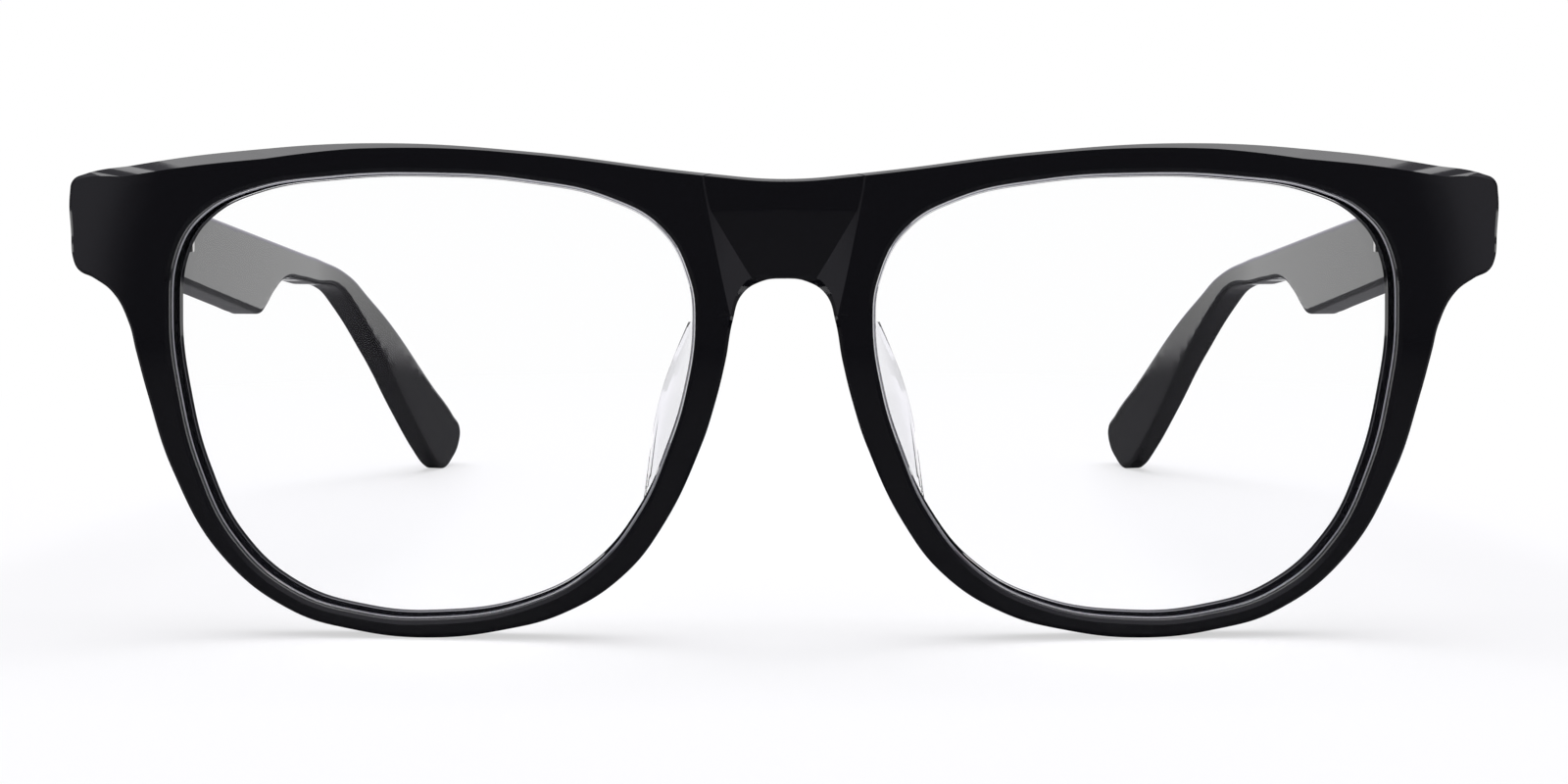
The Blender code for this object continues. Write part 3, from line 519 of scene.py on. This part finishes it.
def lens(side, name):
    middle = np.array([EYE_X, EYE_Z])
    edge = grown(opening, -0.03)
    inner_edge = grown(opening, -0.03 - GROUND_RING)
    rings = [middle + (inner_edge - middle) * share for share in RING_SHARES] + [inner_edge, edge]
    half = LENS_THICKNESS / 2
    layers = [(ring, LENS_DEPTH - half) for ring in rings]
    layers.append((grown(opening, 0.55), LENS_DEPTH))
    layers += [(ring, LENS_DEPTH + half) for ring in reversed(rings)]
    points = np.concatenate([
        pressed(np.stack([ring[:, 0], np.full(len(ring), depth), ring[:, 1]], axis=-1)) for ring, depth in layers
    ])
    count = len(opening)
    hubs = pressed(np.array([[EYE_X, LENS_DEPTH - half, EYE_Z], [EYE_X, LENS_DEPTH + half, EYE_Z]]))
    points = np.concatenate([points, hubs]) * np.array([side, 1.0, 1.0])
    faces = []
    for layer in range(len(layers) - 1):
        for k in range(count):
            n = (k + 1) % count
            faces.append((layer * count + k, layer * count + n, (layer + 1) * count + n, (layer + 1) * count + k))
    last = (len(layers) - 1) * count
    for k in range(count):
        n = (k + 1) % count
        faces.append((len(points) - 2, n, k))
        faces.append((len(points) - 1, last + k, last + n))
    made = piece_from("lens_glass_" + name, points, faces, 30.0)
    return made


lenses = [lens(1, "left"), lens(-1, "right")]
print("lenses:", [piece.name for piece in lenses])

# %% [markdown]
# ## Nose pads
#
# The pads are clear acetate fins, glued behind the rims and flared towards the wearer. A few rounded
# sections, lofted from the lower end up, make one smooth skin.

# %% Nose pads
PAD_LENGTH, PAD_REACH, PAD_FLARE, PAD_DROP = 18.5, 6.4, 2.0, 11.0
PAD_ROOT, PAD_TIP, GLUE_GAP = 2.4, 1.6, 0.1


def nose_pad(side, name):
    rings = []
    for share in np.linspace(0.0, 1.0, 29):
        swell = math.sin(math.pi * (0.03 + 0.85 * share))
        z = EYE_Z - PAD_DROP + PAD_LENGTH * share
        middle = BRIDGE_GAP / 2 - 1.75 + 1.4 * (1 - share) + 4.0 * (1 - share) ** 2
        rear = middle + PAD_ROOT / 2 + PAD_FLARE * swell
        back = FRONT_THICKNESS + GLUE_GAP + PAD_REACH * swell
        tip = rear - PAD_TIP / 2
        section = [(middle - PAD_ROOT / 2, FRONT_THICKNESS + GLUE_GAP)]
        section.append((middle + PAD_ROOT / 2, FRONT_THICKNESS + GLUE_GAP))
        for k in range(9):
            turn = math.pi * k / 8
            section.append((tip + PAD_TIP / 2 * math.cos(turn), back - PAD_TIP * 0.5 * (1 - math.sin(turn))))
        rings.append([(x, depth, z) for x, depth in section])
    rings = pressed(np.array(rings)) * np.array([side, 1.0, 1.0])
    count = rings.shape[1]
    faces = [
        (r * count + k, r * count + (k + 1) % count, (r + 1) * count + (k + 1) % count, (r + 1) * count + k)
        for r in range(len(rings) - 1) for k in range(count)
    ]
    faces += [tuple(range(count)), tuple((len(rings) - 1) * count + k for k in range(count))]
    return piece_from("pad_" + name, rings.reshape(-1, 3), faces, 40.0)


pads = [nose_pad(1, "left"), nose_pad(-1, "right")]
print("pads:", [piece.name for piece in pads])

# %% [markdown]
# ## Temples
#
# A temple is cut from sheet like the front: a flat outline with rounded edges, then bent. It leans in
# towards the head, turns in further behind the bend, and thins towards its tip. A filled 2D curve with a
# bevel makes the blank, cuts across it give it joints to bend at, and the rule moves every point.

# %% Temple outline
TEMPLE_THICKNESS, TIP_THICKNESS, TEMPLE_INSET = 3.8, 2.7, 2.2
TEMPLE_TOP, TEMPLE_HEIGHT, TEMPLE_FALL, TEMPLE_GROWTH = 45.0, 7.8, 0.1457, 0.033
WIDE_LENGTH, STEP_LENGTH, NECK_HEIGHT = 51.0, 17.0, 3.4
BEND_LENGTH, ARM_REACH = 86.5, 47.6
TEMPLE_LEAN, TIP_LEAN = 0.08, 0.28
LEAN_START, LEAN_RUN = 8.0, 28.0
SQUARE_BUTT = 15.0
TEMPLE_ROUND, BUTT_PLAY = 0.6, 0.1
BEND_Y = BUTT_Y + BEND_LENGTH
BEND_Z = TEMPLE_TOP - TEMPLE_FALL * BEND_LENGTH
BUTT_X = FRONT_EDGE - TEMPLE_INSET - TEMPLE_THICKNESS


def temple_outline():
    """The side view of a temple, as (y, z): round from the butt's top corner to its lower one."""

    def top(length):
        return (BUTT_Y + length, TEMPLE_TOP - TEMPLE_FALL * length)

    def bottom(length, above=0.0):
        y, z = top(length)
        return (y, z - TEMPLE_HEIGHT - TEMPLE_GROWTH * length + above)

    def arm(reach, drop):
        return (BEND_Y + reach * ARM_REACH, BEND_Z * (1.0 - drop))

    neck_y, neck_top = top(BEND_LENGTH - 13.5)
    points = [
        (*top(BUTT_PLAY), "corner"), top(BEND_LENGTH - 12.0), top(BEND_LENGTH - 4.0),
        arm(0.18, 0.07), arm(0.315, 0.165), arm(0.477, 0.30), arm(0.767, 0.596), arm(0.94, 0.765),
        arm(0.995, 0.84), arm(0.985, 0.905), arm(0.93, 0.97), arm(0.87, 1.0), arm(0.825, 0.98),
        arm(0.77, 0.925), arm(0.588, 0.688), arm(0.412, 0.438), arm(0.2, 0.198), arm(0.085, 0.115),
        (neck_y + 7.0, neck_top - TEMPLE_FALL * 7.0 - NECK_HEIGHT), (neck_y - 1.5, neck_top - NECK_HEIGHT),
        bottom(WIDE_LENGTH + STEP_LENGTH * 0.72, 5.6), bottom(WIDE_LENGTH + STEP_LENGTH * 0.40, 3.4),
        bottom(WIDE_LENGTH + STEP_LENGTH * 0.17, 1.2), bottom(WIDE_LENGTH + 0.6, 0.15),
        bottom(WIDE_LENGTH - 2.0), bottom(WIDE_LENGTH - 8.0), (*bottom(BUTT_PLAY), "corner"),
    ]
    return smooth_outline(points, 8)


def bent(point):
    """Where bending puts a point (distance from the inner face, y, z) of the flat left temple."""
    start = BEND_Y - LEAN_START
    share = min(1.0, max(0.0, (point.y - start) / LEAN_RUN))
    lean = TEMPLE_LEAN + (TIP_LEAN - TEMPLE_LEAN) * share
    curved = (TIP_LEAN - TEMPLE_LEAN) * (LEAN_RUN * share * share / 2 + max(0.0, point.y - start - LEAN_RUN))
    inner = BUTT_X - TEMPLE_LEAN * (point.y - BUTT_Y) - curved
    past_bend = min(1.0, max(0.0, (point.y - BEND_Y) / (ARM_REACH * 0.9)))
    thinning = 1.0 - past_bend * (1.0 - TIP_THICKNESS / TEMPLE_THICKNESS)
    square = min(1.0, max(0.0, (point.y - BUTT_Y - BUTT_PLAY) / SQUARE_BUTT))
    out = Vector((1.0, lean * square, 0.0)).normalized() * point.x * thinning
    return Vector((inner + out.x, point.y + out.y + FACE_Y, point.z))


# %% Cut the blank, give it joints and bend it
def temple(side, name):
    curve = bpy.data.curves.new("temple", "CURVE")
    curve.dimensions = "2D"
    curve.fill_mode = "BOTH"
    curve.extrude = TEMPLE_THICKNESS / 2 - TEMPLE_ROUND
    curve.bevel_depth = TEMPLE_ROUND
    curve.bevel_resolution = 3
    drawn = grown(temple_outline(), -TEMPLE_ROUND)
    spline = curve.splines.new("POLY")
    spline.points.add(len(drawn) - 1)
    spline.use_cyclic_u = True
    for knot, point in zip(spline.points, drawn):
        knot.co = (point[0], point[1], 0.0, 1.0)
    guide = bpy.data.objects.new("temple", curve)
    bpy.context.scene.collection.objects.link(guide)
    bpy.context.view_layer.update()
    mesh = bpy.data.meshes.new_from_object(guide.evaluated_get(bpy.context.evaluated_depsgraph_get()))
    bpy.data.objects.remove(guide)
    shape = bmesh.new()
    shape.from_mesh(mesh)
    bmesh.ops.remove_doubles(shape, verts=shape.verts, dist=1e-3)
    for station in np.arange(BUTT_Y + 3.0, BEND_Y + ARM_REACH, 2.5):
        everything = shape.verts[:] + shape.edges[:] + shape.faces[:]
        bmesh.ops.bisect_plane(shape, geom=everything, dist=1e-4, plane_co=(station, 0, 0), plane_no=(1, 0, 0))
    bmesh.ops.triangulate(shape, faces=[face for face in shape.faces if len(face.verts) > 4])
    for vertex in shape.verts:
        flat = Vector((TEMPLE_THICKNESS / 2 + vertex.co.z, vertex.co.x, vertex.co.y))
        moved = bent(flat)
        vertex.co = Vector((moved.x * side, moved.y, moved.z)) * MM
    bmesh.ops.recalc_face_normals(shape, faces=shape.faces)
    shape.to_mesh(mesh)
    shape.free()
    made = bpy.data.objects.new("acetate_temple_" + name, mesh)
    bpy.context.scene.collection.objects.link(made)
    leaf_low, leaf_high = (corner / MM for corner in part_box("temple_hinge_leaf_" + name))
    axis = Vector(next(j for j in frame["joints"] if j["child"] == "temple_" + name)["pos_m"]) / MM
    seat = rounded_box(
        "seat", (1.5, -2.0, leaf_low.z - axis.z - LEAF_PLAY),
        (1.6 + 0.9 + LEAF_PLAY, 7.7, leaf_high.z - axis.z + LEAF_PLAY), 0.0,
    )
    turn = Matrix.Rotation(math.atan(TEMPLE_LEAN), 4, "Z")
    seat.data.transform(Matrix.Translation(Vector((abs(axis.x), axis.y, axis.z)) * MM) @ turn)
    if side < 0:
        seat.data.transform(Matrix.Diagonal((-1.0, 1.0, 1.0, 1.0)))
        seat.data.flip_normals()
    combine(made, [seat], "DIFFERENCE")
    clean(made)
    weigh_normals(made)
    return made


temples = [temple(1, "left"), temple(-1, "right")]
print("temples:", [(piece.name, len(piece.data.polygons)) for piece in temples])

# %% [markdown]
# ## Shader maths as Python
#
# A node graph for a pattern soon becomes a tangle. `Field` wraps one socket, and adds, subtracts and
# multiplies by making the Math node itself, so that a material reads like a formula.

# %% A small class for shader maths
class Field:
    """A socket of a material's node tree that takes part in Python expressions."""

    def __init__(self, tree, socket):
        self.tree = tree
        self.socket = socket

    def node(self, kind, settings=None, **inputs):
        """Adds a node, sets it up, then feeds its sockets, named with _ for a space."""
        made = self.tree.nodes.new(kind)
        for key, value in (settings or {}).items():
            setattr(made, key, value)
        for key, value in inputs.items():
            socket = made.inputs[int(key[1:])] if key[1:].isdigit() else made.inputs[key.replace("_", " ")]
            if isinstance(value, Field):
                self.tree.links.new(value.socket, socket)
            else:
                socket.default_value = value
        return made

    def maths(self, operation, a, b=0.0):
        made = self.node("ShaderNodeMath", {"operation": operation}, i0=a, i1=b)
        return Field(self.tree, made.outputs[0])

    def __add__(self, other):
        return self.maths("ADD", self, other)

    def __radd__(self, other):
        return self.maths("ADD", other, self)

    def __sub__(self, other):
        return self.maths("SUBTRACT", self, other)

    def __rsub__(self, other):
        return self.maths("SUBTRACT", other, self)

    def __mul__(self, other):
        return self.maths("MULTIPLY", self, other)

    def __rmul__(self, other):
        return self.maths("MULTIPLY", other, self)

    def larger(self, other):
        return self.maths("MAXIMUM", self, other)

    def between(self, low, high):
        """0 below the first value, 1 above the second, and smooth between them."""
        made = self.node(
            "ShaderNodeMapRange", {"interpolation_type": "SMOOTHSTEP"}, Value=self, From_Min=low, From_Max=high
        )
        return Field(self.tree, made.outputs[0])


def new_material(name):
    """A material with its Principled shader and the field of its object coordinates."""
    made = bpy.data.materials.new(name)
    made.use_nodes = True
    tree = made.node_tree
    shader = tree.nodes["Principled BSDF"]
    coordinates = tree.nodes.new("ShaderNodeTexCoord")
    return made, shader, Field(tree, coordinates.outputs["Object"])


def noise(place, scale, detail=2.0, stretch=(1.0, 1.0, 1.0)):
    """Noise with a size in waves per metre, stretched along the object's axes."""
    mapped = place.node("ShaderNodeMapping", None, Vector=place, Scale=stretch)
    made = place.node(
        "ShaderNodeTexNoise", None, Vector=Field(place.tree, mapped.outputs[0]), Scale=scale, Detail=detail
    )
    return Field(place.tree, made.outputs["Fac"])


def bump(shader, height, distance, strength=1.0):
    made = height.node("ShaderNodeBump", None, Height=height, Distance=distance, Strength=strength)
    height.tree.links.new(made.outputs[0], shader.inputs["Normal"])


def feed(shader, socket, field):
    field.tree.links.new(field.socket, shader.inputs[socket])


# %% [markdown]
# ## Black acetate
#
# Acetate is tumbled with polishing paste until it shines. What is left of the work is faint: a soft
# unevenness of the surface, and hairlines that scatter a little of a highlight.

# %% Black acetate
def black_acetate():
    made, shader, place = new_material("black_acetate")
    shader.inputs["Base Color"].default_value = (0.004, 0.004, 0.0055, 1.0)
    shader.inputs["IOR"].default_value = 1.48
    clouds = noise(place, 160.0)
    hairlines = noise(place, 900.0, 3.0, (1.0, 1.0, 8.0))
    feed(shader, "Roughness", 0.045 + clouds * 0.05 + hairlines.between(0.62, 0.75) * 0.06)
    bump(shader, clouds * 0.6 + hairlines * 0.06, 0.00002, 0.4)
    return made


# %% Lens glass, its ground ring, and clear acetate
def clear_for_lamps(made, shader):
    """Lets the lamps' light through, so that clear pieces cast almost no shadow."""
    tree = made.node_tree
    path = tree.nodes.new("ShaderNodeLightPath")
    through = tree.nodes.new("ShaderNodeBsdfTransparent")
    mixed = tree.nodes.new("ShaderNodeMixShader")
    tree.links.new(path.outputs["Is Shadow Ray"], mixed.inputs[0])
    tree.links.new(shader.outputs[0], mixed.inputs[1])
    tree.links.new(through.outputs[0], mixed.inputs[2])
    tree.links.new(mixed.outputs[0], tree.nodes["Material Output"].inputs["Surface"])


def lens_glass():
    made, shader, place = new_material("lens_glass")
    shader.inputs["Base Color"].default_value = (0.995, 0.997, 1.0, 1.0)
    shader.inputs["Transmission Weight"].default_value = 1.0
    shader.inputs["IOR"].default_value = 1.16
    shader.inputs["Roughness"].default_value = 0.0
    clear_for_lamps(made, shader)
    return made


def ground_edge():
    made, shader, place = new_material("ground_edge")
    shader.inputs["Base Color"].default_value = (0.62, 0.62, 0.66, 1.0)
    feed(shader, "Roughness", 0.45 + noise(place, 2500.0) * 0.2)
    return made


def clear_acetate():
    made, shader, place = new_material("clear_acetate")
    shader.inputs["Base Color"].default_value = (0.985, 0.985, 0.992, 1.0)
    shader.inputs["Transmission Weight"].default_value = 1.0
    shader.inputs["IOR"].default_value = 1.33
    feed(shader, "Roughness", 0.03 + noise(place, 400.0) * 0.05)
    clear_for_lamps(made, shader)
    return made


# %% Hinge steel and core wire
def brushed_steel(name, colour, roughness):
    made, shader, place = new_material(name)
    shader.inputs["Base Color"].default_value = (*colour, 1.0)
    shader.inputs["Metallic"].default_value = 1.0
    grain = noise(place, 1500.0, 3.0, (1.0, 1.0, 12.0))
    feed(shader, "Roughness", roughness + grain * 0.14)
    bump(shader, grain, 0.00001, 0.5)
    return made


acetate = black_acetate()
glass = lens_glass()
pale_edge = ground_edge()
clear = clear_acetate()
steel = brushed_steel("hinge_steel", (0.62, 0.61, 0.59), 0.22)
wire_steel = brushed_steel("core_steel", (0.48, 0.48, 0.47), 0.3)

# %% Give each piece its material, its body and the solid that it stands for
def finish_piece(piece, material, body, node=None):
    piece.data.materials.clear()
    piece.data.materials.append(material)
    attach(piece, body)
    if node:
        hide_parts(node)


finish_piece(front, acetate, "front", "front_frame")
for block in blocks:
    finish_piece(block, acetate, "front")
for side, name, glass_piece, pad, arm in zip((1, -1), ("left", "right"), lenses, pads, temples):
    finish_piece(glass_piece, glass, "front", "lens_" + name)
    finish_piece(pad, clear, "front", "nose_pad_" + name)
    finish_piece(arm, acetate, "temple_" + name, "temple_" + name)
    glass_piece.data.materials.append(pale_edge)
    ring_start = len(RING_SHARES) * len(opening)
    for polygon in glass_piece.data.polygons[ring_start:ring_start + len(opening)]:
        polygon.material_index = 1
    for part in ("front_hinge_leaf_", "temple_hinge_leaf_", "hinge_screw_", "temple_core_"):
        node = nodes[part + name]
        node.data.materials.clear()
        node.data.materials.append(wire_steel if part == "temple_core_" else steel)
print("finished:", [piece.name for piece in (front, *blocks, *lenses, *pads, *temples)])

# %% [markdown]
# ## Stage, light and camera
#
# Black gloss shows what it mirrors, so the light is a surrounding more than a lamp: bright above and
# behind, dim where the viewer stands. The floor and the backdrop are white to the eye. In mirrors the
# floor is white only far behind the glasses; nearer and in front it carries a painted dark reflection.

# %% Floor
def floor():
    mesh = bpy.data.meshes.new("floor")
    half = 3.0
    mesh.from_pydata([(-half, -half, 0), (half, -half, 0), (half, half, 0), (-half, half, 0)], [], [(0, 1, 2, 3)])
    made = bpy.data.objects.new("floor", mesh)
    bpy.context.scene.collection.objects.link(made)
    material = bpy.data.materials.new("pale_floor")
    material.use_nodes = True
    tree = material.node_tree
    tree.nodes.clear()
    path = Field(tree, tree.nodes.new("ShaderNodeLightPath").outputs["Is Camera Ray"])
    mirrored = Field(tree, path.socket.node.outputs["Is Glossy Ray"])
    through = Field(tree, path.socket.node.outputs["Is Transmission Ray"])
    place = Field(tree, tree.nodes.new("ShaderNodeTexCoord").outputs["Object"])
    split = place.node("ShaderNodeSeparateXYZ", None, Vector=place)
    depth, across = Field(tree, split.outputs[1]), Field(tree, split.outputs[0])
    away = (depth * depth + across * across).between(0.006, 0.05)
    # Mirrors see the floor as white only from 0.18 to 0.28 m behind the glasses and beyond.
    mirror_white_zone = depth.between(0.18, 0.28)
    seen = path.larger(through).larger(mirrored * mirror_white_zone)
    plain = path.node("ShaderNodeBsdfDiffuse", None, Color=(0.8, 0.8, 0.82, 1.0))
    dark = path.node("ShaderNodeBsdfDiffuse", None, Color=(0.01, 0.01, 0.01, 1.0))
    # Painted dark reflection: for glossy rays that do not pass through glass and fall outside that white zone,
    # the floor is 85% black diffuse, so the black gloss mirrors darkness where a white floor lies.
    painted_dark_reflection = path.node("ShaderNodeMixShader", None, i0=mirrored * (1.0 - through) * (1.0 - mirror_white_zone) * 0.85)
    tree.links.new(plain.outputs[0], painted_dark_reflection.inputs[1])
    tree.links.new(dark.outputs[0], painted_dark_reflection.inputs[2])
    white = path.node("ShaderNodeEmission", None, Color=(1.0, 1.0, 1.0, 1.0), Strength=1.0)
    mixed = path.node("ShaderNodeMixShader", None, i0=seen * (0.6 + 0.4 * away))
    tree.links.new(painted_dark_reflection.outputs[0], mixed.inputs[1])
    tree.links.new(white.outputs[0], mixed.inputs[2])
    output = tree.nodes.new("ShaderNodeOutputMaterial")
    tree.links.new(mixed.outputs[0], output.inputs["Surface"])
    made.data.materials.append(material)
    return made


# %% World and lamps
def world():
    made = bpy.data.worlds.new("studio")
    bpy.context.scene.world = made
    made.use_nodes = True
    tree = made.node_tree
    tree.nodes.clear()
    path = tree.nodes.new("ShaderNodeLightPath")
    camera = Field(tree, path.outputs["Is Camera Ray"])
    seen = camera.larger(Field(tree, path.outputs["Is Transmission Ray"]))
    way = tree.nodes.new("ShaderNodeTexCoord")
    split = camera.node("ShaderNodeSeparateXYZ", None, Vector=Field(tree, way.outputs["Generated"]))
    depth, height = Field(tree, split.outputs[1]), Field(tree, split.outputs[2])
    behind = depth.between(0.76, 0.93)
    sides = depth.between(-0.70, -0.62) * (1.0 - depth.between(-0.45, -0.25)) * 0.5
    above = height.between(0.35, 0.95) * 0.8
    around = 0.09 + 0.85 * behind.larger(above).larger(sides)
    strength = seen + (1.0 - seen) * around
    background = camera.node("ShaderNodeBackground", None, Color=(0.96, 0.95, 1.0, 1.0), Strength=strength)
    tint = camera.node(
        "ShaderNodeMix", {"data_type": "RGBA"}, i0=seen, i6=(0.93, 0.91, 1.0, 1.0), i7=(1.0, 1.0, 1.0, 1.0)
    )
    tree.links.new(tint.outputs[2], background.inputs["Color"])
    output = tree.nodes.new("ShaderNodeOutputWorld")
    tree.links.new(background.outputs[0], output.inputs["Surface"])


def soft_lamp(name, place, aim, size, watts):
    data = bpy.data.lights.new(name, "AREA")
    data.shape = "RECTANGLE"
    data.size, data.size_y = size
    data.energy = watts
    made = bpy.data.objects.new(name, data)
    made.location = place
    made.rotation_euler = (Vector(aim) - Vector(place)).to_track_quat("-Z", "Y").to_euler()
    bpy.context.scene.collection.objects.link(made)
    return made


floor()
world()
soft_lamp("overhead", (0.0, 0.15, 0.9), (0.0, 0.0, 0.02), (1.2, 0.8), 9.0)

# %% Camera
PHOTO_WIDTH = 1600
FOCAL_PIXELS, HORIZON_RISE = 3044.0, 296.0
SHIFT_SHARE = 0.6
camera_data = bpy.data.cameras.new("camera")
camera_data.sensor_width = 36.0
camera_data.lens = FOCAL_PIXELS / PHOTO_WIDTH * camera_data.sensor_width
camera_data.shift_y = -HORIZON_RISE * SHIFT_SHARE / PHOTO_WIDTH
camera_data.clip_start = 0.01
camera = bpy.data.objects.new("camera", camera_data)
camera.location = (0.0, (FACE_Y - 294.0) * MM, 53.634 * MM)
tilt = math.atan(HORIZON_RISE * (1.0 - SHIFT_SHARE) / FOCAL_PIXELS)
camera.rotation_euler = (math.radians(90.0) - tilt, 0.0, 0.0)
bpy.context.scene.collection.objects.link(camera)
bpy.context.scene.camera = camera
bpy.context.scene.view_settings.view_transform = "Standard"
print("camera:", round(camera_data.lens, 1), "mm lens")
